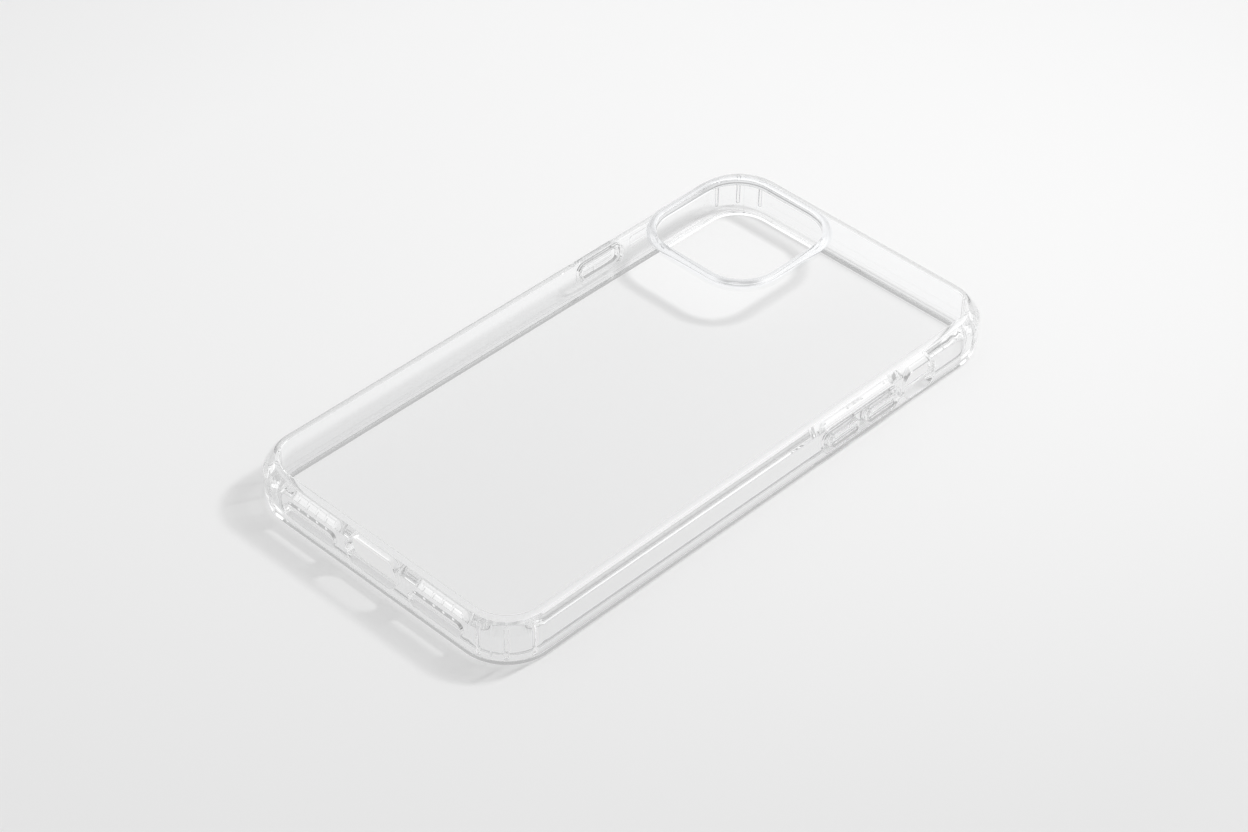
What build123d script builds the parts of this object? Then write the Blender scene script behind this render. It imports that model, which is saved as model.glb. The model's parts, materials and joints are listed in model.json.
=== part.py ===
from build123d import *
from math import cos, radians, sin
import os

# Clear two-part case for a phone with rounded edges: a hard back plate held in a soft frame.
# Millimetres. The case lies on its open screen side, so the screen rim is at z = 0 and the
# back plate faces +Z. +Y is the camera end, +X the volume side. The origin is at the centre
# of the screen rim. "Depth" is always measured inwards from the frame's flat outer walls.

# --- The phone and the shell around it
phone_width, phone_length, phone_thickness = 75.7, 150.9, 8.3
phone_gap = 0.15
wall = 2.2
outer_corner_radius = 12.0
lip_height, lip_reach = 1.8, 1.2
seat_radius = 1.0
plate_thickness = 1.2
thickness_gap = 0.2
back_edge_radius, screen_edge_radius, lip_edge_radius = 3.0, 1.0, 0.5

outer_width = phone_width + 2 * (phone_gap + wall)
outer_length = phone_length + 2 * (phone_gap + wall)
pocket_top = lip_height + phone_thickness + thickness_gap
height = pocket_top + plate_thickness

# --- The plate's step, which the frame laps over
plate_inset = back_edge_radius
tongue_inset, tongue_height = 1.9, 0.65

# --- Camera opening and its guard ring
camera_x, camera_y = -20.0, 56.2
camera_width, camera_length, camera_radius = 32.8, 33.4, 9.8
sleeve_thickness = 0.9
ring_width, ring_height = 2.3, 0.8
ring_slope_width, ring_slope_height = 1.75, 0.75

# --- Corner cushions. A groove's depth is from the frame's own surface, without the bulge.
cushion_depth, cushion_proud = 1.1, 0.6
cushion_low, cushion_high = 1.3, 10.4
cushion_flat_low, cushion_flat_high = 3.0, 7.2
cushion_ledge = 0.06  # how far its top and bottom edges stand proud of the frame
cushion_half_angle = 40.0
groove_angle, groove_width, groove_depth = 28.0, 1.1, 0.4
groove_low, groove_rise = 2.4, 27.0  # its lowest point, and how far it turns over the back edge

# --- Button windows, the thin webs in them and the pads that slide in the webs
button_z, power_z = 5.0, 5.9
window_height, window_radius = 5.7, 2.3
volume_window_y, volume_window_length = 31.0, 25.4
power_window_y, power_window_length = 28.9, 14.6
web_outer, web_inner = 0.8, 1.4
pad_height, pad_radius, pad_proud, pad_edge_radius = 3.7, 1.5, 0.45, 0.3
volume_pad_length, volume_pad_spacing = 9.6, 12.2
power_pad_length = 11.6
pad_clearance, flange_gap = 0.06, 0.05
flange_margin, flange_thickness = 0.4, 0.5
nub_length, nub_height, nub_radius, nub_thickness = 5.0, 1.5, 0.7, 0.2
rib_spacing, rib_height, rib_radius, rib_depth, rib_end = 1.1, 0.4, 0.19, 0.18, 1.2

# --- Openings through the walls
mute_y, mute_z, mute_length, mute_height, mute_radius = 50.5, 5.3, 10.2, 7.2, 2.6
port_z, port_length, port_height, port_radius = 6.6, 15.2, 6.8, 2.8
speaker_x, speaker_z, speaker_length, speaker_height, speaker_radius = 19.2, 5.1, 15.6, 3.6, 1.7
dimple_count, dimple_spacing, dimple_z, dimple_radius, dimple_lift = 5, 2.85, 7.7, 0.45, 0.2
relief_y, relief_z, relief_length, relief_height = 42.3, 7.4, 7.7, 2.6
relief_radius, relief_depth = 0.65, 0.5

through = 1.0  # how far a cutter runs past the surfaces that it cuts
overlap = 0.1  # the same, where it has to stop before it meets anything else


def case_prism(inset, low, high):
    """The case's outline moved inwards by inset, as a prism between two heights."""
    outline = RectangleRounded(
        outer_width - 2 * inset, outer_length - 2 * inset, outer_corner_radius - inset
    )
    return Pos(0, 0, low) * extrude(outline, high - low)


def camera_prism(offset, low, high):
    """The camera opening's outline moved outwards by offset, between two heights."""
    outline = RectangleRounded(
        camera_width + 2 * offset, camera_length + 2 * offset, camera_radius + offset
    )
    return Pos(camera_x, camera_y, low) * extrude(outline, high - low)


def side_prism(side, y, z, length, tall, radius, start, end):
    """A rounded bar across the +X (side 1) or -X (side -1) wall, between two depths."""
    face = Plane(
        origin=(side * (outer_width / 2 - start), y, z), x_dir=(0, 1, 0), z_dir=(-side, 0, 0)
    )
    return extrude(face * RectangleRounded(length, tall, radius), end - start)


def end_prism(x, z, length, tall, radius, start, end):
    """A rounded bar across the -Y wall, between two depths."""
    face = Plane(origin=(x, start - outer_length / 2, z), x_dir=(1, 0, 0), z_dir=(0, 1, 0))
    return extrude(face * RectangleRounded(length, tall, radius), end - start)


def case_blank():
    """The case as one solid block with its outer edges rounded."""
    blank = case_prism(0, 0, height)
    blank = fillet(blank.faces().sort_by(Axis.Z)[-1].edges(), back_edge_radius)
    return fillet(blank.faces().sort_by(Axis.Z)[0].edges(), screen_edge_radius)


def phone_pocket():
    """The space for the phone, with its lower edge rounded as the phone's is."""
    pocket = case_prism(wall, lip_height, pocket_top)
    return fillet(pocket.faces().sort_by(Axis.Z)[0].edges(), seat_radius)


def back_plate():
    """Hard plate whose lower half runs out as a tongue under the frame's back edge."""
    plate = case_prism(plate_inset, pocket_top, height)
    plate += case_prism(tongue_inset, pocket_top, pocket_top + tongue_height)
    return plate - camera_prism(sleeve_thickness, pocket_top - through, height + through)


def camera_guard_ring():
    """Sleeve that lines the camera opening, under a raised cap with a sloped outer face."""
    cap = camera_prism(ring_width, pocket_top, height + ring_height)
    top = cap.faces().sort_by(Axis.Z)[-1]
    cap = chamfer(top.edges(), ring_slope_width, ring_slope_height, reference=top)
    cap -= case_blank()
    sleeve = camera_prism(sleeve_thickness, pocket_top, height)
    return cap + sleeve - camera_prism(0, pocket_top - through, height + ring_height + through)


def corner_place(corner):
    """Where a corner's own frame stands: its arc's centre, with the diagonal at 45 degrees."""
    turns = {(1, 1): 0, (-1, 1): 90, (-1, -1): 180, (1, -1): 270}
    x = corner[0] * (outer_width / 2 - outer_corner_radius)
    y = corner[1] * (outer_length / 2 - outer_corner_radius)
    return Pos(x, y, 0) * Rot(0, 0, turns[corner])


def cushion_blank(corner):
    """Bulged pad round one corner, in a pocket of the frame's outer face."""
    inner = outer_corner_radius - cushion_depth
    surface = outer_corner_radius + cushion_ledge
    proud = outer_corner_radius + cushion_proud
    rise = cushion_high - (height - back_edge_radius)
    top_surface = surface - back_edge_radius + (back_edge_radius**2 - rise**2) ** 0.5
    edges = [
        Line((inner, 0, cushion_low), (surface, 0, cushion_low)),
        TangentArc(
            (proud, 0, cushion_flat_low), (surface, 0, cushion_low), tangent=(0, 0, -1)
        ),
        Line((proud, 0, cushion_flat_low), (proud, 0, cushion_flat_high)),
        TangentArc(
            (proud, 0, cushion_flat_high), (top_surface, 0, cushion_high), tangent=(0, 0, 1)
        ),
        Line((top_surface, 0, cushion_high), (inner, 0, cushion_high)),
        Line((inner, 0, cushion_high), (inner, 0, cushion_low)),
    ]
    pad = revolve(make_face(edges), Axis.Z, 2 * cushion_half_angle)
    pad = Rot(0, 0, -cushion_half_angle) * pad
    # A smaller arc, shifted outwards, brings the bulge down to the frame at both ends.
    end = cos(radians(cushion_half_angle))
    shift = (proud**2 - surface**2) / 2 / (proud - surface * end)
    pad &= Pos(shift, 0, height / 2) * Cylinder(proud - shift, height)
    return corner_place(corner) * Rot(0, 0, 45) * pad


def cushion_groove():
    """A round-bottomed groove that runs up the corner and over the start of the back edge."""
    bend = height - back_edge_radius
    centre = outer_corner_radius - groove_depth + groove_width / 2
    low = (centre, 0, groove_low)
    pivot = outer_corner_radius - back_edge_radius
    turn = centre - pivot
    high = (
        pivot + turn * cos(radians(groove_rise)),
        0,
        bend + turn * sin(radians(groove_rise)),
    )
    upright = Line(low, (centre, 0, bend))
    path = Wire([upright, TangentArc(upright @ 1, high, tangent=(0, 0, 1))])
    groove = sweep(Pos(low) * Circle(groove_width / 2), path)
    return groove + Pos(low) * Sphere(groove_width / 2) + Pos(high) * Sphere(groove_width / 2)


def corner_cushion(corner):
    """A cushion with its three upright grooves."""
    cushion, groove = cushion_blank(corner), cushion_groove()
    for angle in (-groove_angle, 0, groove_angle):
        cushion -= corner_place(corner) * Rot(0, 0, 45 + angle) * groove
    return cushion


def bumper_frame():
    """Soft frame: the walls, the screen lip and the back edge that laps over the plate."""
    frame = case_blank()
    frame -= case_prism(plate_inset, pocket_top, height + through)
    frame -= case_prism(tongue_inset, pocket_top, pocket_top + tongue_height)
    frame -= phone_pocket()
    frame -= case_prism(wall + lip_reach, -through, lip_height + through)
    rim = frame.faces().sort_by(Axis.Z)[0]
    frame = fillet(rim.inner_wires()[0].edges(), lip_edge_radius)
    for corner in corners.values():
        frame -= cushion_blank(corner)
    frame -= camera_prism(sleeve_thickness, pocket_top, height + through)

    past_lip = wall + lip_reach + overlap
    frame -= side_prism(
        1, mute_y, mute_z, mute_length, mute_height, mute_radius, -through, past_lip
    )
    for side, y, z, length in (
        (1, volume_window_y, button_z, volume_window_length),
        (-1, power_window_y, power_z, power_window_length),
    ):
        frame -= side_prism(
            side, y, z, length, window_height, window_radius, -through, past_lip
        )
    frame -= end_prism(0, port_z, port_length, port_height, port_radius, -through, past_lip)
    for side in (1, -1):
        frame -= end_prism(
            side * speaker_x,
            speaker_z,
            speaker_length,
            speaker_height,
            speaker_radius,
            -through,
            past_lip,
        )
        for index in range(dimple_count):
            x = side * speaker_x + (index - (dimple_count - 1) / 2) * dimple_spacing
            frame -= Pos(x, -outer_length / 2 - dimple_lift, dimple_z) * Sphere(dimple_radius)
    return frame - side_prism(
        -1,
        relief_y,
        relief_z,
        relief_length,
        relief_height,
        relief_radius,
        wall - relief_depth,
        past_lip,
    )


def button_web(side, window_y, z, window_length, pads):
    """Thin web that fills a window, with a hole for each pad."""
    web = side_prism(
        side, window_y, z, window_length, window_height, window_radius, web_outer, web_inner
    )
    for y, length in pads:
        web -= side_prism(
            side,
            y,
            z,
            length + 2 * pad_clearance,
            pad_height + 2 * pad_clearance,
            pad_radius + pad_clearance,
            web_outer - through,
            web_inner + through,
        )
    return web


def button_pad(side, y, z, length):
    """Pad with a ribbed face, a flange that stays behind the web and a nub for the key."""
    flange_start = web_inner + flange_gap
    flange_end = flange_start + flange_thickness
    pad = side_prism(side, y, z, length, pad_height, pad_radius, -pad_proud, flange_end)
    face_edges = pad.faces().sort_by(Axis.X)[-1 if side > 0 else 0].edges()
    pad = fillet(face_edges, pad_edge_radius)
    pad += side_prism(
        side,
        y,
        z,
        length + 2 * flange_margin,
        pad_height + 2 * flange_margin,
        pad_radius + flange_margin,
        flange_start,
        flange_end,
    )
    pad += side_prism(
        side,
        y,
        z,
        nub_length,
        nub_height,
        nub_radius,
        flange_end - overlap,
        flange_end + nub_thickness,
    )
    for offset in (-rib_spacing / 2, rib_spacing / 2):
        pad -= side_prism(
            side,
            y,
            z + offset,
            length - 2 * rib_end,
            rib_height,
            rib_radius,
            -pad_proud - through,
            rib_depth - pad_proud,
        )
    return pad


corners = {
    "top_left_corner_cushion": (-1, 1),
    "top_right_corner_cushion": (1, 1),
    "bottom_left_corner_cushion": (-1, -1),
    "bottom_right_corner_cushion": (1, -1),
}
volume_pads = {
    "volume_up_button": volume_window_y + volume_pad_spacing / 2,
    "volume_down_button": volume_window_y - volume_pad_spacing / 2,
}

nodes = {
    "back_plate": back_plate(),
    "bumper_frame": bumper_frame(),
    "camera_guard_ring": camera_guard_ring(),
    "volume_button_web": button_web(
        1,
        volume_window_y,
        button_z,
        volume_window_length,
        [(y, volume_pad_length) for y in volume_pads.values()],
    ),
    "power_button_web": button_web(
        -1, power_window_y, power_z, power_window_length, [(power_window_y, power_pad_length)]
    ),
    "power_button": button_pad(-1, power_window_y, power_z, power_pad_length),
}
for name, y in volume_pads.items():
    nodes[name] = button_pad(1, y, button_z, volume_pad_length)
for name, corner in corners.items():
    nodes[name] = corner_cushion(corner)

os.makedirs("parts", exist_ok=True)
for name, shape in nodes.items():
    export_step(shape, f"parts/{name}.step")
    print(name, round(shape.volume, 2))
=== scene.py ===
import json
from math import acos, cos, degrees, pi, radians, sin, sqrt

import bmesh
import bpy
from mathutils import Matrix, Vector
from mathutils.bvhtree import BVHTree


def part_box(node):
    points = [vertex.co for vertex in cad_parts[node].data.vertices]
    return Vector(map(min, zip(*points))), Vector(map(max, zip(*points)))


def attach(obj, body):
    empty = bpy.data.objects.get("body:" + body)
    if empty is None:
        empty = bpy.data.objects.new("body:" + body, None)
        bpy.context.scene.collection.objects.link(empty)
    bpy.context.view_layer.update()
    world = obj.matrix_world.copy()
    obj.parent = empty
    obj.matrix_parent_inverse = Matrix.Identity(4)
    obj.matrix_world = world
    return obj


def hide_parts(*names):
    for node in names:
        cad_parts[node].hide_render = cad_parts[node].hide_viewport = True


# Clear phone case: twelve clear pieces, each built here as a fine mesh in the place of its CAD
# node, because refraction shows every facet of a coarser one. Lengths are in millimetres until
# a mesh is made. "Depth" is measured inwards from the frame's flat outer walls.

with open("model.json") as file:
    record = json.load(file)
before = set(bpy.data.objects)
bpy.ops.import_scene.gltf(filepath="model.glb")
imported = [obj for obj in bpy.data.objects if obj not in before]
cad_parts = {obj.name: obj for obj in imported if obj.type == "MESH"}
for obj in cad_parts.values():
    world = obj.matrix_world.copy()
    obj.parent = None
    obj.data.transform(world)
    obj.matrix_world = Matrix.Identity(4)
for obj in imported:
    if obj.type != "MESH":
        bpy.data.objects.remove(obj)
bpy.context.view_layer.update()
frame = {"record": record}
MM = 0.001

# --- The shell's section
CORNER_RADIUS = 12.0
BACK_RADIUS, SCREEN_RADIUS, LIP_RADIUS, LIP_TOP_RADIUS = 3.0, 1.0, 0.5, 0.12
SEAT_RADIUS, SEAT_HEIGHT = 1.0, 1.8
WALL, LIP_END = 2.2, 3.4
PLATE_INSET, TONGUE_HEIGHT = 3.0, 0.65
SEAM_RADIUS, SEAM_TURN = 0.06, 70
CORNER_STEPS = 24

# --- The camera ring's section, as distances outwards from the opening's edge
RING_WIDTH, RING_FOOT = 2.3, 1.6
RING_CORNER_RADIUS = 9.8
RING_INNER_RADIUS, RING_CREST = 0.3, 0.5
RING_FOOT_RADIUS = 0.1
RING_SLOPE_STEPS = 12

# --- Corner cushions, in degrees and in radii from the corner's centre
CUSHION_INNER, CUSHION_PROUD, CUSHION_RISE = 10.9, 12.6, 2.4
CUSHION_HALF, BEYOND = 40.0, 14.0
CUSHION_LEVELS, CUSHION_STEPS = 32, 48
GROOVE_ANGLE, GROOVE_RADIUS, GROOVE_DEPTH = 28.0, 0.55, 0.4
GROOVE_LOW, GROOVE_TURN = 2.4, 27.0
GROOVE_STEPS, GROOVE_SIDES = 8, 20
CORNERS = {
    "top_left_corner_cushion": (-1, 1),
    "top_right_corner_cushion": (1, 1),
    "bottom_left_corner_cushion": (-1, -1),
    "bottom_right_corner_cushion": (1, -1),
}
DIAGONALS = {(1, 1): 45, (-1, 1): 135, (-1, -1): 225, (1, -1): 315}

# --- Button webs: each one's side of the case and its pads
WEBS = {
    "volume_button_web": (1, ("volume_up_button", "volume_down_button")),
    "power_button_web": (-1, ("power_button",)),
}

# --- Openings: rounded edges, then each one's size. A rounding stops short of a quarter turn.
OUTER_EDGE, INNER_EDGE, EDGE_TURN = 0.25, 0.12, 75
PORT = dict(length=15.2, height=6.8, radius=2.8)
MUTE = dict(length=10.2, height=7.2, radius=2.6)
SLOT = dict(length=15.6, height=3.6, radius=1.7)
SLOT_X, SLOT_Z = 19.2, 5.1
DIMPLES, DIMPLE_SPACING, DIMPLE_Z, DIMPLE_RADIUS, DIMPLE_LIFT = 5, 2.85, 7.7, 0.45, 0.2
DIMPLE_RINGS, DIMPLE_SIDES = 8, 16
RELIEF = dict(length=7.7, height=2.6, radius=0.65)
RELIEF_Y, RELIEF_Z, RELIEF_DEPTH, RELIEF_REACH = 42.3, 7.4, 0.5, 0.5
WINDOW_RADIUS, WEB_OUTER, WEB_INNER = 2.3, 0.8, 1.4

# --- Cutters: how far they start outside, pass a face, and reach past the screen lip
OUTSIDE, PAST, BEHIND_LIP = 1.0, 0.01, 0.1

# --- A pad's hole in its web, with (depth from the web's outer face, growth) for its flared mouth
HOLE_MOUTH = ((-0.3, 0.1), (-0.002, 0.1), (0.03, 0.03), (0.1, 0.0))
HOLE_REACH, PAD_GAP = 0.3, 0.06

# --- Pads
PAD_PROUD, PAD_RADIUS, PAD_EDGE = 0.45, 1.5, 0.3
FLANGE_MARGIN, FLANGE_START, FLANGE_END = 0.4, 1.45, 1.95
FLANGE_FILLET, FLANGE_EDGE = 0.05, 0.08
NUB_LENGTH, NUB_HEIGHT, NUB_RADIUS, NUB_THICKNESS, NUB_EDGE = 5.0, 1.5, 0.7, 0.2, 0.06

# --- A pad's ribs, which are sunk, with (depth from the pad's face, growth) for their mouths
RIB_SPACING, RIB_HEIGHT, RIB_DEPTH, RIB_END = 1.1, 0.4, 0.18, 1.2
RIB_MOUTH = ((-0.002, 0.07), (0.04, 0.01))
RIB_EDGE, RIB_BOTTOM = 0.06, -0.08

# --- Meshes: how close points are joined as built and after a cut, the shortest side between two
# round ends, and smooth shading's limit
WELD, CUT_WELD = 1e-5, 2e-4
SHORTEST = 1e-4
SHARP_ANGLE = 30

# --- The test for moulded faces: a probe just off each face, and a ray in no special direction
PROBE, PROBE_STEP, MOST_HITS = 0.02, 1e-7, 50
PROBE_DIRECTION = Vector((0.3713, 0.2391, 0.8972)).normalized()


def box_mm(name):
    low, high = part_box(name)
    return low / MM, high / MM


shell_high = box_mm("bumper_frame")[1]
plate_low, plate_high = box_mm("back_plate")
ring_low, ring_high = box_mm("camera_guard_ring")
HALF_X, HALF_Y, TOP = shell_high.x, shell_high.y, shell_high.z
POCKET_TOP = plate_low.z
TONGUE_INSET = HALF_X - plate_high.x
RING_CENTRE = (ring_low + ring_high) / 2
RING_HALF = (ring_high - ring_low) / 2 - Vector((RING_WIDTH, RING_WIDTH, 0))
RING_TOP = ring_high.z
openings = {o["name"]: o["box_m"] for o in frame["record"]["physics"]["openings"]}


def opening_centre(name):
    low, high = openings[name]
    return [(a + b) / 2 / MM for a, b in zip(low, high)]


# --- Meshes


def arc(centre, radius, start, end, steps):
    """Points (a, b) on an arc, from one angle in degrees to another."""
    angles = [radians(start + (end - start) * i / steps) for i in range(steps + 1)]
    return [(centre[0] + radius * cos(a), centre[1] + radius * sin(a)) for a in angles]


def outline(half_x, half_y, radius, steps):
    """Each sample round a rounded rectangle, as its corner's centre and a unit direction."""
    samples = []
    for quarter, (sx, sy) in enumerate(((1, 1), (-1, 1), (-1, -1), (1, -1))):
        for i in range(steps + 1):
            a = radians(90 * (quarter + i / steps))
            samples.append(((sx * (half_x - radius), sy * (half_y - radius)), (cos(a), sin(a))))
    return samples


def rounded(length, height, radius, steps=8):
    """Points round a rounded rectangle about the origin."""
    radius = min(radius, length / 2 - SHORTEST, height / 2 - SHORTEST)
    return [
        (c[0] + radius * d[0], c[1] + radius * d[1])
        for c, d in outline(length / 2, height / 2, radius, steps)
    ]


def make(name, *solids):
    """An object from solids, each a list of rings of points: open ones are capped at both ends."""
    bm = bmesh.new()
    for rings, looped in solids:
        rows = [[bm.verts.new(Vector(p) * MM) for p in ring] for ring in rings]
        pairs = list(zip(rows, rows[1:] + rows[:1])) if looped else list(zip(rows, rows[1:]))
        for one, two in pairs:
            for i in range(len(one)):
                j = (i + 1) % len(one)
                bm.faces.new((one[i], one[j], two[j], two[i]))
        if not looped:
            bm.faces.new(rows[0])
            bm.faces.new(rows[-1])
    bmesh.ops.remove_doubles(bm, verts=bm.verts, dist=WELD * MM)
    bmesh.ops.recalc_face_normals(bm, faces=bm.faces)
    mesh = bpy.data.meshes.new(name)
    bm.to_mesh(mesh)
    bm.free()
    obj = bpy.data.objects.new(name, mesh)
    bpy.context.scene.collection.objects.link(obj)
    return obj


def cut(obj, *solids):
    """Takes solids out of obj."""
    cutter = make("cutter", *solids)
    modifier = obj.modifiers.new("cut", "BOOLEAN")
    modifier.solver = "EXACT"
    modifier.operation = "DIFFERENCE"
    modifier.object = cutter
    bpy.context.view_layer.update()
    graph = bpy.context.evaluated_depsgraph_get()
    mesh = bpy.data.meshes.new_from_object(obj.evaluated_get(graph))
    obj.modifiers.remove(modifier)
    obj.data = mesh
    bpy.data.objects.remove(cutter)
    bm = bmesh.new()
    bm.from_mesh(mesh)
    bmesh.ops.remove_doubles(bm, verts=bm.verts, dist=CUT_WELD * MM)
    bmesh.ops.dissolve_degenerate(bm, dist=CUT_WELD * MM, edges=bm.edges)
    bm.to_mesh(mesh)
    bm.free()
    return obj


def sweep(profile, samples, radius):
    """Rings of a closed profile of (depth, z) carried round an outline."""
    return [
        [(c[0] + d[0] * (radius - depth), c[1] + d[1] * (radius - depth), z) for depth, z in profile]
        for c, d in samples
    ]


def smooth(t):
    t = min(1.0, max(0.0, t))
    return t * t * (3 - 2 * t)


def surface_depth(z):
    """How deep the frame's outer face lies at a height."""
    rise = max(0.0, z - (TOP - BACK_RADIUS))
    return BACK_RADIUS - sqrt(max(0.0, BACK_RADIUS**2 - rise**2))


def surface_height(depth):
    """How high the case's back face lies at a depth."""
    run = max(0.0, BACK_RADIUS - depth)
    return TOP - BACK_RADIUS + sqrt(max(0.0, BACK_RADIUS**2 - run**2))


def case_depth(x, y):
    """How deep a point lies inside the case's outline."""
    qx = abs(x) - (HALF_X - CORNER_RADIUS)
    qy = abs(y) - (HALF_Y - CORNER_RADIUS)
    if qx > 0 and qy > 0:
        return CORNER_RADIUS - sqrt(qx * qx + qy * qy)
    return CORNER_RADIUS - max(qx, qy)


def on_side(side, y, z):
    """Places (u, v, depth) on the +X wall (side 1) or the -X wall (side -1)."""
    return lambda u, v, depth: (side * (HALF_X - depth), y + u, z + v)


def on_end(x, z):
    """Places (u, v, depth) on the -Y wall."""
    return lambda u, v, depth: (x + u, depth - HALF_Y, z + v)


def on_corner(corner, angle):
    """Places (u, z, radius) at an angle in degrees from a corner's diagonal."""
    a = radians(DIAGONALS[corner] + angle)
    cx = corner[0] * (HALF_X - CORNER_RADIUS)
    cy = corner[1] * (HALF_Y - CORNER_RADIUS)
    return lambda u, z, r: (cx + r * cos(a) - u * sin(a), cy + r * sin(a) + u * cos(a), z)


def bar(place, sections, size, bent=False):
    """Rings of a rounded bar of a size, from (depth, growth) pairs. It may follow a bent face."""
    length, height, radius = size["length"], size["height"], size["radius"]
    rings = []
    for depth, grow in sections:
        ring = []
        for u, v in rounded(length + 2 * grow, height + 2 * grow, radius + grow):
            z = place(u, v, depth)[2]
            extra = surface_depth(z) if bent and depth <= OUTER_EDGE else 0.0
            ring.append(place(u, v, depth + extra))
        rings.append(ring)
    return rings, False


def opening(place, size, splits=(), bent=False):
    """A cutter for an opening whose outer and inner edges are rounded."""
    sections = [(-OUTSIDE, OUTER_EDGE), (-PAST, OUTER_EDGE)]
    sections += [
        (OUTER_EDGE - b, OUTER_EDGE - a) for a, b in arc((0, 0), OUTER_EDGE, EDGE_TURN, 0, 5)
    ]
    sections += [(depth, 0.0) for depth in splits]
    sections += [
        (WALL - INNER_EDGE + b, INNER_EDGE - a)
        for a, b in arc((0, 0), INNER_EDGE, 0, EDGE_TURN, 3)
    ]
    sections += [(WALL + PAST, INNER_EDGE), (LIP_END + BEHIND_LIP, INNER_EDGE)]
    return bar(place, sections, size, bent=bent)


def dimple(place):
    """Rings of a small ball whose middle stands just outside a wall's face."""
    levels = []
    for i in range(1, DIMPLE_RINGS):
        a = pi * i / DIMPLE_RINGS
        level = []
        for j in range(DIMPLE_SIDES):
            t = 2 * pi * j / DIMPLE_SIDES
            u, v = DIMPLE_RADIUS * sin(a) * cos(t), DIMPLE_RADIUS * sin(a) * sin(t)
            level.append(place(u, v, -DIMPLE_RADIUS * cos(a) - DIMPLE_LIFT))
        levels.append(level)
    return levels, False


def cushion_rings(name, proud):
    """Rings of a cushion: its own bulge if proud, or else the block that makes room for it."""
    low, high = (v.z for v in box_mm(name))
    swell = CUSHION_PROUD - CORNER_RADIUS
    half = radians(CUSHION_HALF)
    shift = (CUSHION_PROUD**2 - CORNER_RADIUS**2) / 2 / (CUSHION_PROUD - CORNER_RADIUS * cos(half))
    rings = []
    for i in range(CUSHION_STEPS + 1):
        angle = half * (2 * i / CUSHION_STEPS - 1)
        bow = shift * cos(angle) - CORNER_RADIUS
        bow += sqrt((CUSHION_PROUD - shift) ** 2 - (shift * sin(angle)) ** 2)
        bow = smooth(bow / swell) * swell
        place = on_corner(CORNERS[name], degrees(angle))
        ring = [place(0, low, CUSHION_INNER)]
        for k in range(CUSHION_LEVELS + 1):
            z = low + (high - low) * k / CUSHION_LEVELS
            rise = smooth((z - low) / CUSHION_RISE) * smooth((high - z) / CUSHION_RISE)
            r = CORNER_RADIUS - surface_depth(z) + bow * rise
            ring.append(place(0, z, r if proud else BEYOND))
        ring.append(place(0, high, CUSHION_INNER))
        rings.append(ring)
    return rings, False


# --- The pieces


def web_place(name, side):
    """Where a button web lies on its wall, and its outline's size."""
    low, high = box_mm(name)
    middle, size = (low + high) / 2, high - low
    place = on_side(side, middle.y, middle.z)
    return place, dict(length=size.y, height=size.z, radius=WINDOW_RADIUS)


def shell_profile():
    profile = arc((SCREEN_RADIUS, SCREEN_RADIUS), SCREEN_RADIUS, 270, 180, 8)
    reach = degrees(acos(-SEAM_RADIUS / BACK_RADIUS))
    profile += arc((BACK_RADIUS, TOP - BACK_RADIUS), BACK_RADIUS, 180, reach, 18)
    profile += arc((BACK_RADIUS - SEAM_RADIUS, TOP - SEAM_RADIUS), SEAM_RADIUS, SEAM_TURN, 0, 3)
    profile += [
        (PLATE_INSET, POCKET_TOP + TONGUE_HEIGHT),
        (TONGUE_INSET, POCKET_TOP + TONGUE_HEIGHT),
        (TONGUE_INSET, POCKET_TOP),
        (WALL, POCKET_TOP),
    ]
    profile += arc((WALL + SEAT_RADIUS, SEAT_HEIGHT + SEAT_RADIUS), SEAT_RADIUS, 180, 270, 10)
    lip = (LIP_END - LIP_TOP_RADIUS, SEAT_HEIGHT - LIP_TOP_RADIUS)
    profile += arc(lip, LIP_TOP_RADIUS, 90, 0, 4)
    profile += arc((LIP_END - LIP_RADIUS, LIP_RADIUS), LIP_RADIUS, 0, -90, 6)
    return profile


def shell_frame():
    samples = outline(HALF_X, HALF_Y, CORNER_RADIUS, CORNER_STEPS)
    obj = make("clear_bumper_frame", (sweep(shell_profile(), samples, CORNER_RADIUS), True))
    cutters = [cushion_rings(name, False) for name in CORNERS]
    cutters.append(ring_block(POCKET_TOP))
    for name, (side, _) in WEBS.items():
        place, size = web_place(name, side)
        cutters.append(opening(place, size, splits=(WEB_OUTER, WEB_INNER)))
    mute, port = opening_centre("mute_opening"), opening_centre("port_opening")
    cutters.append(opening(on_side(1, mute[1], mute[2]), MUTE, bent=True))
    cutters.append(opening(on_end(port[0], port[2]), PORT, bent=True))
    for side in (-1, 1):
        cutters.append(opening(on_end(side * SLOT_X, SLOT_Z), SLOT))
        for i in range(DIMPLES):
            x = side * SLOT_X + (i - (DIMPLES - 1) / 2) * DIMPLE_SPACING
            cutters.append(dimple(on_end(x, DIMPLE_Z)))
    floor_depth = WALL - RELIEF_DEPTH
    sections = [(floor_depth, -INNER_EDGE), (floor_depth + INNER_EDGE, 0.0)]
    sections += [(WALL - INNER_EDGE, 0.0), (WALL + PAST, INNER_EDGE)]
    sections += [(WALL + RELIEF_REACH, INNER_EDGE)]
    cutters.append(bar(on_side(-1, RELIEF_Y, RELIEF_Z), sections, RELIEF))
    return cut(obj, *cutters)


def ring_outline():
    return outline(RING_HALF.x, RING_HALF.y, RING_CORNER_RADIUS, CORNER_STEPS)


def ring_point(sample, offset, z):
    """A point at a distance outwards from the camera opening's edge."""
    c, d = sample
    r = RING_CORNER_RADIUS + offset
    return (RING_CENTRE.x + c[0] + d[0] * r, RING_CENTRE.y + c[1] + d[1] * r, z)


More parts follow.
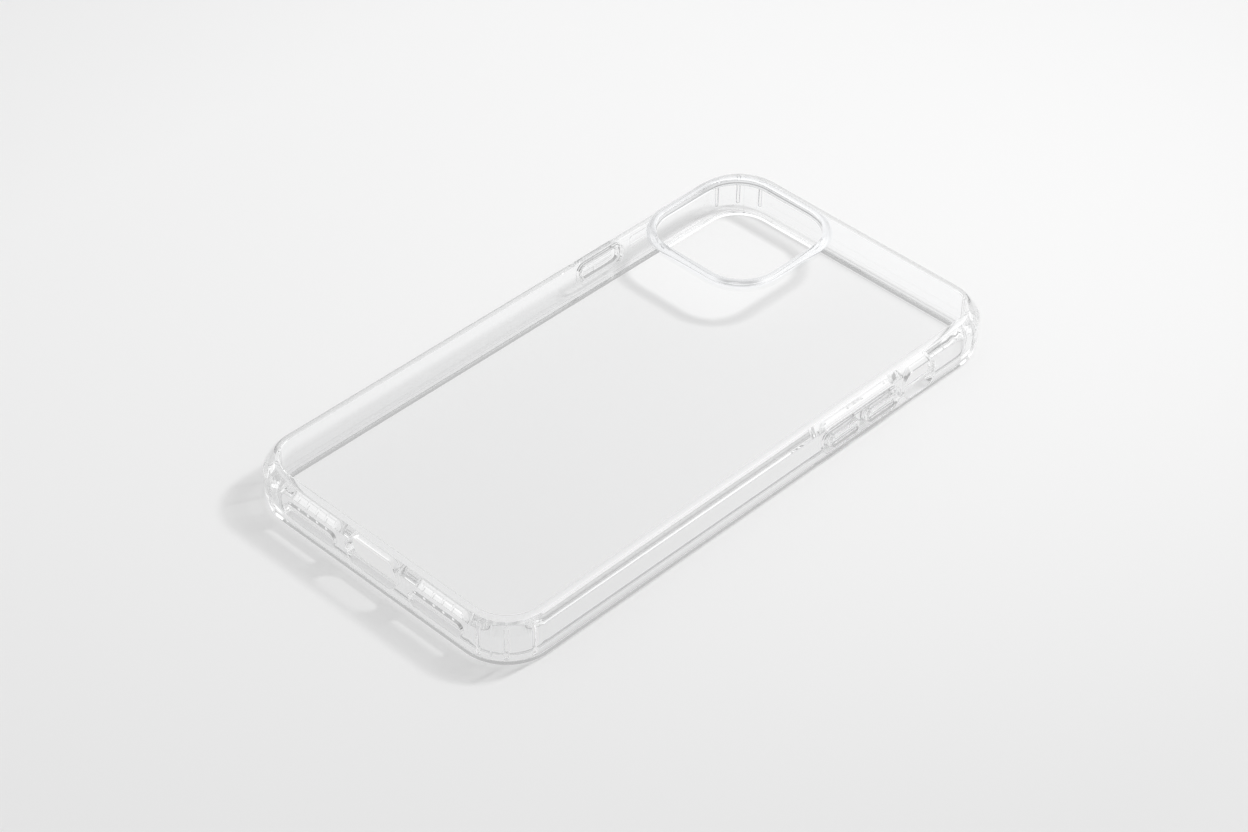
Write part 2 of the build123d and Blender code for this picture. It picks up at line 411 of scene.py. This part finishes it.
def ring_block(low):
    """The camera ring's whole outline as a block from a height to above the case."""
    samples = ring_outline()
    heights = (low, RING_TOP + OUTSIDE)
    return [[ring_point(sample, RING_WIDTH, z) for sample in samples] for z in heights], False


def back_plate():
    samples = outline(HALF_X, HALF_Y, CORNER_RADIUS, CORNER_STEPS)
    profile = [
        (WALL, POCKET_TOP),
        (TONGUE_INSET, POCKET_TOP),
        (TONGUE_INSET, POCKET_TOP + TONGUE_HEIGHT),
        (PLATE_INSET, POCKET_TOP + TONGUE_HEIGHT),
    ]
    profile += arc((PLATE_INSET + SEAM_RADIUS, TOP - SEAM_RADIUS), SEAM_RADIUS, 180, 90, 3)
    columns = sweep(profile, samples, CORNER_RADIUS)
    rings = [list(level) for level in zip(*columns)]
    return cut(make("clear_back_plate", (rings, False)), ring_block(POCKET_TOP - OUTSIDE))


def camera_ring():
    """The ring, down to the plate's inner face. From its crest it slopes down to the back."""
    head = arc((RING_INNER_RADIUS, RING_TOP - RING_INNER_RADIUS), RING_INNER_RADIUS, 180, 90, 6)
    for i in range(RING_SLOPE_STEPS + 1):
        t = i / RING_SLOPE_STEPS
        offset = RING_CREST + (RING_WIDTH - RING_CREST) * t
        head.append((offset, RING_TOP + (TOP - RING_TOP) * smooth(t)))
    rings = []
    for sample in ring_outline():
        x, y, _ = ring_point(sample, RING_WIDTH, 0)
        profile = [(0, POCKET_TOP + RING_FOOT_RADIUS)] + head
        profile += [(RING_WIDTH, surface_height(case_depth(x, y)))]
        profile += [(RING_WIDTH, POCKET_TOP), (RING_FOOT, POCKET_TOP)]
        profile += [(RING_FOOT_RADIUS, POCKET_TOP)]
        rings.append([ring_point(sample, offset, z) for offset, z in profile])
    return make("clear_camera_ring", (rings, True))


def groove(corner, angle):
    """Rings of a round bar up a corner and over the start of the back edge, with round ends."""
    centre = CORNER_RADIUS - GROOVE_DEPTH + GROOVE_RADIUS
    pivot, bend = CORNER_RADIUS - BACK_RADIUS, TOP - BACK_RADIUS
    stops = [
        (centre, GROOVE_LOW + (bend - GROOVE_LOW) * i / GROOVE_STEPS, 0.0)
        for i in range(GROOVE_STEPS)
    ]
    for i in range(GROOVE_STEPS + 1):
        a = radians(GROOVE_TURN * i / GROOVE_STEPS)
        stops.append((pivot + (centre - pivot) * cos(a), bend + (centre - pivot) * sin(a), a))
    ends = [radians(a) for a in range(15, 90, 15)]
    spans = [(stops[0], GROOVE_RADIUS * sin(a), -GROOVE_RADIUS * cos(a)) for a in ends]
    spans += [(stop, GROOVE_RADIUS, 0.0) for stop in stops]
    spans += [(stops[-1], GROOVE_RADIUS * sin(a), GROOVE_RADIUS * cos(a)) for a in ends[::-1]]
    place = on_corner(corner, angle)
    rings = []
    for (r, z, a), radius, along in spans:
        ring = []
        for j in range(GROOVE_SIDES):
            t = 2 * pi * j / GROOVE_SIDES
            out = radius * cos(t)
            height = z + out * sin(a) + along * cos(a)
            ring.append(place(radius * sin(t), height, r + out * cos(a) - along * sin(a)))
        rings.append(ring)
    return rings, False


def cushion(name):
    obj = make("clear_" + name, cushion_rings(name, True))
    angles = (-GROOVE_ANGLE, 0, GROOVE_ANGLE)
    return cut(obj, *[groove(CORNERS[name], angle) for angle in angles])


def pad_place(name, side, lift=0.0):
    """Where a pad lies on its wall, raised by a lift, and its size without the flange."""
    low, high = box_mm(name)
    middle = (low + high) / 2
    length = high.y - low.y - 2 * FLANGE_MARGIN
    height = high.z - low.z - 2 * FLANGE_MARGIN
    place = on_side(side, middle.y, middle.z + lift)
    return place, dict(length=length, height=height, radius=PAD_RADIUS)


def web(name, pads, side):
    place, size = web_place(name, side)
    obj = make("clear_" + name, bar(place, [(WEB_OUTER, 0.0), (WEB_INNER, 0.0)], size))
    sections = [(WEB_OUTER + depth, PAD_GAP + grow) for depth, grow in HOLE_MOUTH]
    sections += [(WEB_INNER + HOLE_REACH, PAD_GAP)]
    holes = []
    for pad_name in pads:
        pad_at, pad_size = pad_place(pad_name, side)
        holes.append(bar(pad_at, sections, pad_size))
    return cut(obj, *holes)


def pad(name, side):
    place, size = pad_place(name, side)
    sections = [
        (-PAD_PROUD + PAD_EDGE - b, a - PAD_EDGE) for a, b in arc((0, 0), PAD_EDGE, 90, 0, 5)
    ]
    wide = FLANGE_MARGIN - FLANGE_EDGE
    sections += [(FLANGE_START - FLANGE_FILLET, 0.0), (FLANGE_START, FLANGE_FILLET)]
    sections += [(FLANGE_START, wide), (FLANGE_START + FLANGE_EDGE, FLANGE_MARGIN)]
    sections += [(FLANGE_END - FLANGE_EDGE, FLANGE_MARGIN), (FLANGE_END, wide)]
    nub = dict(length=NUB_LENGTH, height=NUB_HEIGHT, radius=NUB_RADIUS)
    nub_sections = [(FLANGE_END, 0.0), (FLANGE_END + (NUB_THICKNESS - NUB_EDGE), 0.0)]
    nub_sections += [(FLANGE_END + NUB_THICKNESS, -NUB_EDGE)]
    rings = bar(place, sections, size)[0] + bar(place, nub_sections, nub)[0]
    obj = make("clear_" + name, (rings, False))
    rib = dict(length=size["length"] - 2 * RIB_END, height=RIB_HEIGHT, radius=RIB_HEIGHT / 2)
    rib_sections = [(-OUTSIDE, RIB_MOUTH[0][1])]
    rib_sections += [(depth - PAD_PROUD, grow) for depth, grow in RIB_MOUTH]
    rib_sections += [(RIB_DEPTH - PAD_PROUD - RIB_EDGE, 0.0), (RIB_DEPTH - PAD_PROUD, RIB_BOTTOM)]
    lifts = (-RIB_SPACING / 2, RIB_SPACING / 2)
    return cut(obj, *[bar(pad_place(name, side, lift)[0], rib_sections, rib) for lift in lifts])


# --- Nodes


def node(tree, kind, **values):
    """A node with some of its sockets or settings given."""
    n = tree.nodes.new(kind)
    for key, value in values.items():
        if key in n.inputs:
            n.inputs[key].default_value = value
        else:
            setattr(n, key, value)
    return n


def grey(value):
    return (value, value, value, 1)


def ramp_of(tree, socket, levels):
    """Grey levels along a value, from (position, level) pairs."""
    ramp = node(tree, "ShaderNodeValToRGB")
    points = ramp.color_ramp.elements
    points[0].position, points[0].color = levels[0][0], grey(levels[0][1])
    points[1].position, points[1].color = levels[-1][0], grey(levels[-1][1])
    for position, value in levels[1:-1]:
        points.new(position).color = grey(value)
    tree.links.new(socket, ramp.inputs["Fac"])
    return ramp.outputs["Color"]


def carried(tree, socket, low, high, start, end, **settings):
    """A value carried from one range to another."""
    curve = node(tree, "ShaderNodeMapRange", **settings)
    for name, value in zip(("From Min", "From Max", "To Min", "To Max"), (low, high, start, end)):
        curve.inputs[name].default_value = value
    tree.links.new(socket, curve.inputs["Value"])
    return curve.outputs["Result"]


def math_of(tree, operation, one, two):
    """One of Blender's Math operations on a socket and a socket or number."""
    result = node(tree, "ShaderNodeMath", operation=operation)
    tree.links.new(one, result.inputs[0])
    if isinstance(two, (int, float)):
        result.inputs[1].default_value = two
    else:
        tree.links.new(two, result.inputs[1])
    return result.outputs[0]


def mixed(tree, factor, one, two):
    """Two shaders mixed."""
    mix = node(tree, "ShaderNodeMixShader")
    for socket, place in ((factor, 0), (one, 1), (two, 2)):
        tree.links.new(socket, mix.inputs[place])
    return mix.outputs[0]


# --- Materials

# How much of a lamp's light a face lets through, by its slant: 0 faces the lamp, 1 is edge-on.
SOFT_SHADES = (
    (0.0, 0.98),
    (0.2, 0.94),
    (0.36, 0.80),
    (0.5, 0.80),
    (0.7, 0.86),
    (0.85, 0.75),
    (1.0, 0.5),
)
HARD_SHADES = ((0.0, 0.95), (0.3, 0.94), (0.6, 0.70), (0.85, 0.45), (1.0, 0.3))
RING_SHADES = ((0.0, 0.80), (0.3, 0.72), (0.6, 0.60), (0.85, 0.45), (1.0, 0.3))

# Mould waviness and polish, as noise, and the span of the noise that the polish uses
FLOW = dict(Scale=70.0, Detail=2.0, Roughness=0.45)
GRAIN = dict(Scale=900.0, Detail=3.0, Roughness=0.6)
GRAIN_LOW, GRAIN_HIGH = 0.3, 0.75

# A ray that has bounced more often than this is trapped in the plastic, and goes straight on.
MOST_BOUNCES = 9.5


def empty_material(name):
    material = bpy.data.materials.new(name)
    material.use_nodes = True
    material.node_tree.nodes.clear()
    return material


def clear_plastic(name, ior, tint, roughest, wave, shades, lets):
    """Clear plastic with faint mould waviness.

    Lamps shine through it, dimmed by its slant (shades). The light that the floor gathers from
    the room goes straight through it, and each face lets this share through (lets).
    """
    material = empty_material(name)
    tree = material.node_tree
    link = tree.links.new
    place = node(tree, "ShaderNodeTexCoord")
    flow = node(tree, "ShaderNodeTexNoise", **FLOW)
    link(place.outputs["Object"], flow.inputs["Vector"])
    grain = node(tree, "ShaderNodeTexNoise", **GRAIN)
    link(place.outputs["Object"], grain.inputs["Vector"])
    bump = node(tree, "ShaderNodeBump", Strength=1.0, Distance=wave)
    link(flow.outputs["Fac"], bump.inputs["Height"])
    polish = carried(tree, grain.outputs["Fac"], GRAIN_LOW, GRAIN_HIGH, 0.0, roughest)
    body = node(tree, "ShaderNodeBsdfPrincipled", IOR=ior)
    body.inputs["Base Color"].default_value = (*tint, 1)
    body.inputs["Transmission Weight"].default_value = 1.0
    link(polish, body.inputs["Roughness"])
    link(bump.outputs["Normal"], body.inputs["Normal"])
    slant = node(tree, "ShaderNodeLayerWeight", Blend=0.5)
    through = node(tree, "ShaderNodeBsdfTransparent")
    link(ramp_of(tree, slant.outputs["Facing"], shades), through.inputs["Color"])
    path = node(tree, "ShaderNodeLightPath")
    trapped = math_of(tree, "GREATER_THAN", path.outputs["Ray Depth"], MOST_BOUNCES)
    gathered = math_of(tree, "MAXIMUM", path.outputs["Diffuse Depth"], trapped)
    plain = node(tree, "ShaderNodeBsdfTransparent", Color=grey(lets))
    freed = mixed(tree, gathered, body.outputs[0], plain.outputs[0])
    surface = mixed(tree, path.outputs["Is Shadow Ray"], freed, through.outputs[0])
    out = node(tree, "ShaderNodeOutputMaterial")
    link(surface, out.inputs["Surface"])
    return material


def bond_material():
    """Where two pieces are moulded onto each other, nothing shows."""
    material = empty_material("moulded_bond")
    tree = material.node_tree
    clear = node(tree, "ShaderNodeBsdfTransparent")
    out = node(tree, "ShaderNodeOutputMaterial")
    tree.links.new(clear.outputs[0], out.inputs["Surface"])
    return material


soft = clear_plastic(
    "clear_soft_plastic",
    ior=1.40,
    tint=(0.992, 0.994, 0.996),
    roughest=0.008,
    wave=6e-7,
    shades=SOFT_SHADES,
    lets=0.985,
)
hard = clear_plastic(
    "clear_hard_plastic",
    ior=1.42,
    tint=(0.998, 0.999, 1.0),
    roughest=0.01,
    wave=4e-7,
    shades=HARD_SHADES,
    lets=0.945,
)
rim = clear_plastic(
    "clear_ring_plastic",
    ior=1.42,
    tint=(0.972, 0.980, 0.993),
    roughest=0.006,
    wave=3e-7,
    shades=RING_SHADES,
    lets=0.96,
)
bond = bond_material()

# --- Every piece, with its CAD node, its body, its slot and its plastic

SHELL = "case_shell"
pieces = [
    (shell_frame(), "bumper_frame", SHELL, "clear_soft_frame", soft),
    (back_plate(), "back_plate", SHELL, "clear_hard_plastic", hard),
    (camera_ring(), "camera_guard_ring", SHELL, "clear_ring_plastic", rim),
]
for name in CORNERS:
    pieces.append((cushion(name), name, SHELL, "clear_soft_cushion", soft))
for name, (side, pads) in WEBS.items():
    pieces.append((web(name, pads, side), name, SHELL, "clear_soft_web", soft))
    for pad_name in pads:
        body = pad_name.replace("_button", "_pad")
        pieces.append((pad(pad_name, side), pad_name, body, "clear_soft_button", soft))
for obj, _, _, _, plastic in pieces:
    obj.data.materials.clear()
    obj.data.materials.append(plastic)
    obj.data.materials.append(bond)

# --- Faces where one piece is moulded onto another


def tree_of(obj):
    """A piece's faces for casting rays at, and its box."""
    bm = bmesh.new()
    bm.from_mesh(obj.data)
    bvh = BVHTree.FromBMesh(bm)
    points = [v.co for v in bm.verts]
    low = Vector([min(p[i] for p in points) for i in range(3)])
    high = Vector([max(p[i] for p in points) for i in range(3)])
    bm.free()
    return bvh, low, high


def inside(point, solid):
    """Whether a point lies in a solid: a ray from it crosses an odd number of faces."""
    bvh, low, high = solid
    if any(point[i] < low[i] or point[i] > high[i] for i in range(3)):
        return False
    hits = 0
    start = point
    while hits < MOST_HITS:
        hit = bvh.ray_cast(start, PROBE_DIRECTION)
        if hit[0] is None:
            break
        hits += 1
        start = hit[0] + PROBE_DIRECTION * PROBE_STEP
    return hits % 2 == 1


def on_seam(point):
    """Whether a point lies in the fine groove between the plate and the frame."""
    x, y, z = point / MM
    return z > TOP - SEAM_RADIUS and abs(case_depth(x, y) - PLATE_INSET) < SEAM_RADIUS


moulded = [obj for obj, _, body, _, _ in pieces if body == SHELL]
solids = {obj.name: tree_of(obj) for obj in moulded}
for obj in moulded:
    others = [solid for name, solid in solids.items() if name != obj.name]
    for face in obj.data.polygons:
        probe = face.center + face.normal * PROBE * MM
        bonded = on_seam(face.center) or any(inside(probe, solid) for solid in others)
        face.material_index = 1 if bonded else 0

for obj, node_name, body, slot, _ in pieces:
    mesh = obj.data
    mesh.polygons.foreach_set("use_smooth", [True] * len(mesh.polygons))
    mesh.set_sharp_from_angle(angle=radians(SHARP_ANGLE))
    weighted = obj.modifiers.new("normals", "WEIGHTED_NORMAL")
    weighted.keep_sharp = True
    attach(obj, body)
    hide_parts(node_name)

# --- Floor: half its width in metres, and its drop

FLOOR_HALF, FLOOR_DROP = 2.5, 0.02
# Painted shade: its grey at two places along X, in metres: it falls from -X to +X, towards the key
# light, so uneven floor lighting is painted into its colour.
PAINTED_SHADE_HALF, PAINTED_SHADE_LEFT, PAINTED_SHADE_RIGHT = 0.15, 0.905, 0.745
FLOOR_ROUGHNESS, FLOOR_SHEEN = 0.85, 0.25


def pale_floor():
    mesh = bpy.data.meshes.new("floor")
    corners = ((-1, -1), (1, -1), (1, 1), (-1, 1))
    mesh.from_pydata([(FLOOR_HALF * x, FLOOR_HALF * y, 0) for x, y in corners], [], [(0, 1, 2, 3)])
    floor = bpy.data.objects.new("floor", mesh)
    bpy.context.scene.collection.objects.link(floor)
    floor.location.z = -FLOOR_DROP * MM
    paper = bpy.data.materials.new("pale_floor")
    paper.use_nodes = True
    tree = paper.node_tree
    shader = tree.nodes["Principled BSDF"]
    where = node(tree, "ShaderNodeTexCoord")
    across = node(tree, "ShaderNodeSeparateXYZ")
    tree.links.new(where.outputs["Object"], across.inputs[0])
    # Painted shade: the floor's grey darkens from -X to +X instead of the light doing it.
    painted_floor_shade = carried(tree, across.outputs["X"], -PAINTED_SHADE_HALF, PAINTED_SHADE_HALF, PAINTED_SHADE_LEFT, PAINTED_SHADE_RIGHT)
    tree.links.new(painted_floor_shade, shader.inputs["Base Color"])
    shader.inputs["Roughness"].default_value = FLOOR_ROUGHNESS
    shader.inputs["Specular IOR Level"].default_value = FLOOR_SHEEN
    floor.data.materials.append(paper)


# --- The room, as (height, level) from the horizon to overhead

# What the plastic shows of it, dimmer on the photographer's side and brighter opposite
ROOM = ((0.0, 0.3), (0.1, 0.42), (0.24, 0.82), (0.6, 0.95), (1.0, 1.0))
DARK_SIDE, DARK_SPAN, DARK_LEVEL = (0.687, -0.727, 0.0), (0.15, 0.75), 0.6
BRIGHT_SIDE, BRIGHT_SPAN, BRIGHT_LEVEL = (-0.52, 0.55, 0.65), (0.6, 0.95), 1.3
# How dark it gets along paths that cross many faces
DEEP_SPAN, DEEP_LEVEL = (2.4, 4.0), 0.36
# The same room as the floor's light: plainer and dimmer, because the key light does the rest
AMBIENT = ((0.0, 0.45), (0.08, 0.5), (0.35, 0.75), (0.7, 1.0), (1.0, 1.1))
AMBIENT_LEVEL, BACKDROP_LEVEL = 0.60, 0.85
# A softbox that shows only in reflections on outer faces, faded over a span of degrees
SOFTBOX, SOFTBOX_LEVEL = Vector((0.43, 0.56, 0.71)).normalized(), 2.8
SOFTBOX_RIM, SOFTBOX_CORE = 42, 18
# A count of bounces below this is none.
HALF_A_BOUNCE = 0.5


def studio():
    world = bpy.data.worlds.new("studio")
    bpy.context.scene.world = world
    world.use_nodes = True
    world.cycles.sampling_method = "NONE"
    tree = world.node_tree
    tree.nodes.clear()
    link = tree.links.new
    view = node(tree, "ShaderNodeTexCoord").outputs["Generated"]
    split = node(tree, "ShaderNodeSeparateXYZ")
    link(view, split.inputs[0])
    path = node(tree, "ShaderNodeLightPath")

    def faded(socket, reach, start, end):
        """A level that changes smoothly while a value goes through a span."""
        return carried(tree, socket, *reach, start, end, interpolation_type="SMOOTHSTEP")

    def facing(direction, reach, start, end):
        """A level that changes as the view turns towards a direction."""
        aim = node(tree, "ShaderNodeVectorMath", operation="DOT_PRODUCT")
        link(view, aim.inputs[0])
        aim.inputs[1].default_value = direction
        return faded(aim.outputs["Value"], reach, start, end)

    def times(one, two):
        return math_of(tree, "MULTIPLY", one, two)

    dark_side = facing(DARK_SIDE, DARK_SPAN, 1.0, DARK_LEVEL)
    bright_side = facing(BRIGHT_SIDE, BRIGHT_SPAN, 1.0, BRIGHT_LEVEL)
    deep = faded(path.outputs["Transmission Depth"], DEEP_SPAN, 1.0, DEEP_LEVEL)
    seen = node(tree, "ShaderNodeBackground")
    link(ramp_of(tree, split.outputs["Z"], ROOM), seen.inputs["Color"])
    link(times(times(dark_side, bright_side), deep), seen.inputs["Strength"])
    fill = node(tree, "ShaderNodeBackground", Strength=AMBIENT_LEVEL)
    link(ramp_of(tree, split.outputs["Z"], AMBIENT), fill.inputs["Color"])
    backdrop = node(tree, "ShaderNodeBackground", Color=grey(1), Strength=BACKDROP_LEVEL)
    clean = math_of(tree, "LESS_THAN", path.outputs["Diffuse Depth"], HALF_A_BOUNCE)
    lit = mixed(tree, clean, fill.outputs[0], seen.outputs[0])
    plain = mixed(tree, path.outputs["Is Camera Ray"], lit, backdrop.outputs[0])
    crossed = math_of(
        tree, "ADD", path.outputs["Diffuse Depth"], path.outputs["Transmission Depth"]
    )
    first = math_of(tree, "LESS_THAN", crossed, HALF_A_BOUNCE)
    reach = (cos(radians(SOFTBOX_RIM)), cos(radians(SOFTBOX_CORE)))
    glow = node(tree, "ShaderNodeBackground", Color=grey(1))
    link(times(facing(SOFTBOX, reach, 0.0, SOFTBOX_LEVEL), first), glow.inputs["Strength"])
    both = node(tree, "ShaderNodeAddShader")
    link(plain, both.inputs[0])
    link(glow.outputs[0], both.inputs[1])
    out = node(tree, "ShaderNodeOutputWorld")
    link(both.outputs[0], out.inputs["Surface"])


# --- The key light: the same strength at every distance, and not seen in the plastic

KEY_PLACE, KEY_RADIUS, KEY_STRENGTH = Vector((82.0, 138.0, 240.0)), 20.0, 1.95


def key_light():
    lamp = bpy.data.lights.new("key", "POINT")
    lamp.energy = 4 * pi * KEY_STRENGTH
    lamp.shadow_soft_size = KEY_RADIUS * MM
    lamp.use_nodes = True
    lamp.cycles.use_multiple_importance_sampling = False
    tree = lamp.node_tree
    falloff = node(tree, "ShaderNodeLightFalloff", Strength=1.0)
    tree.links.new(falloff.outputs["Constant"], tree.nodes["Emission"].inputs["Strength"])
    key = bpy.data.objects.new("key", lamp)
    key.visible_glossy = False
    key.visible_transmission = False
    key.location = KEY_PLACE * MM
    bpy.context.scene.collection.objects.link(key)


# --- The camera, at the photo's angle: degrees, then millimetres

CAMERA_AZIMUTH, CAMERA_ELEVATION, CAMERA_ROLL = 43.398, 40.042, 1.232
CAMERA_DISTANCE, CAMERA_LENS, CAMERA_SENSOR = 701.843, 91.47, 36.0
CAMERA_TARGET = Vector((-1.592, -0.875, 0.0))


def photo_camera():
    a, e, r = (radians(v) for v in (CAMERA_AZIMUTH, CAMERA_ELEVATION, CAMERA_ROLL))
    back = Vector((sin(a) * cos(e), -cos(a) * cos(e), sin(e)))
    level = Vector((cos(a), sin(a), 0))
    upright = back.cross(level)
    right = level * cos(r) + upright * sin(r)
    up = upright * cos(r) - level * sin(r)
    lens = bpy.data.cameras.new("camera")
    lens.lens = CAMERA_LENS
    lens.sensor_width = CAMERA_SENSOR
    camera = bpy.data.objects.new("camera", lens)
    turn = Matrix((right, up, back)).transposed().to_4x4()
    camera.matrix_world = Matrix.Translation((CAMERA_TARGET + back * CAMERA_DISTANCE) * MM) @ turn
    bpy.context.scene.collection.objects.link(camera)
    bpy.context.scene.camera = camera


pale_floor()
studio()
key_light()
photo_camera()

# Clear plastic needs long light paths.
scene = bpy.context.scene
scene.view_settings.view_transform = "Standard"
scene.cycles.max_bounces = 32
scene.cycles.transmission_bounces = 32
scene.cycles.glossy_bounces = 24
scene.cycles.diffuse_bounces = 4
scene.cycles.transparent_max_bounces = 64
scene.cycles.caustics_reflective = False
scene.cycles.caustics_refractive = True
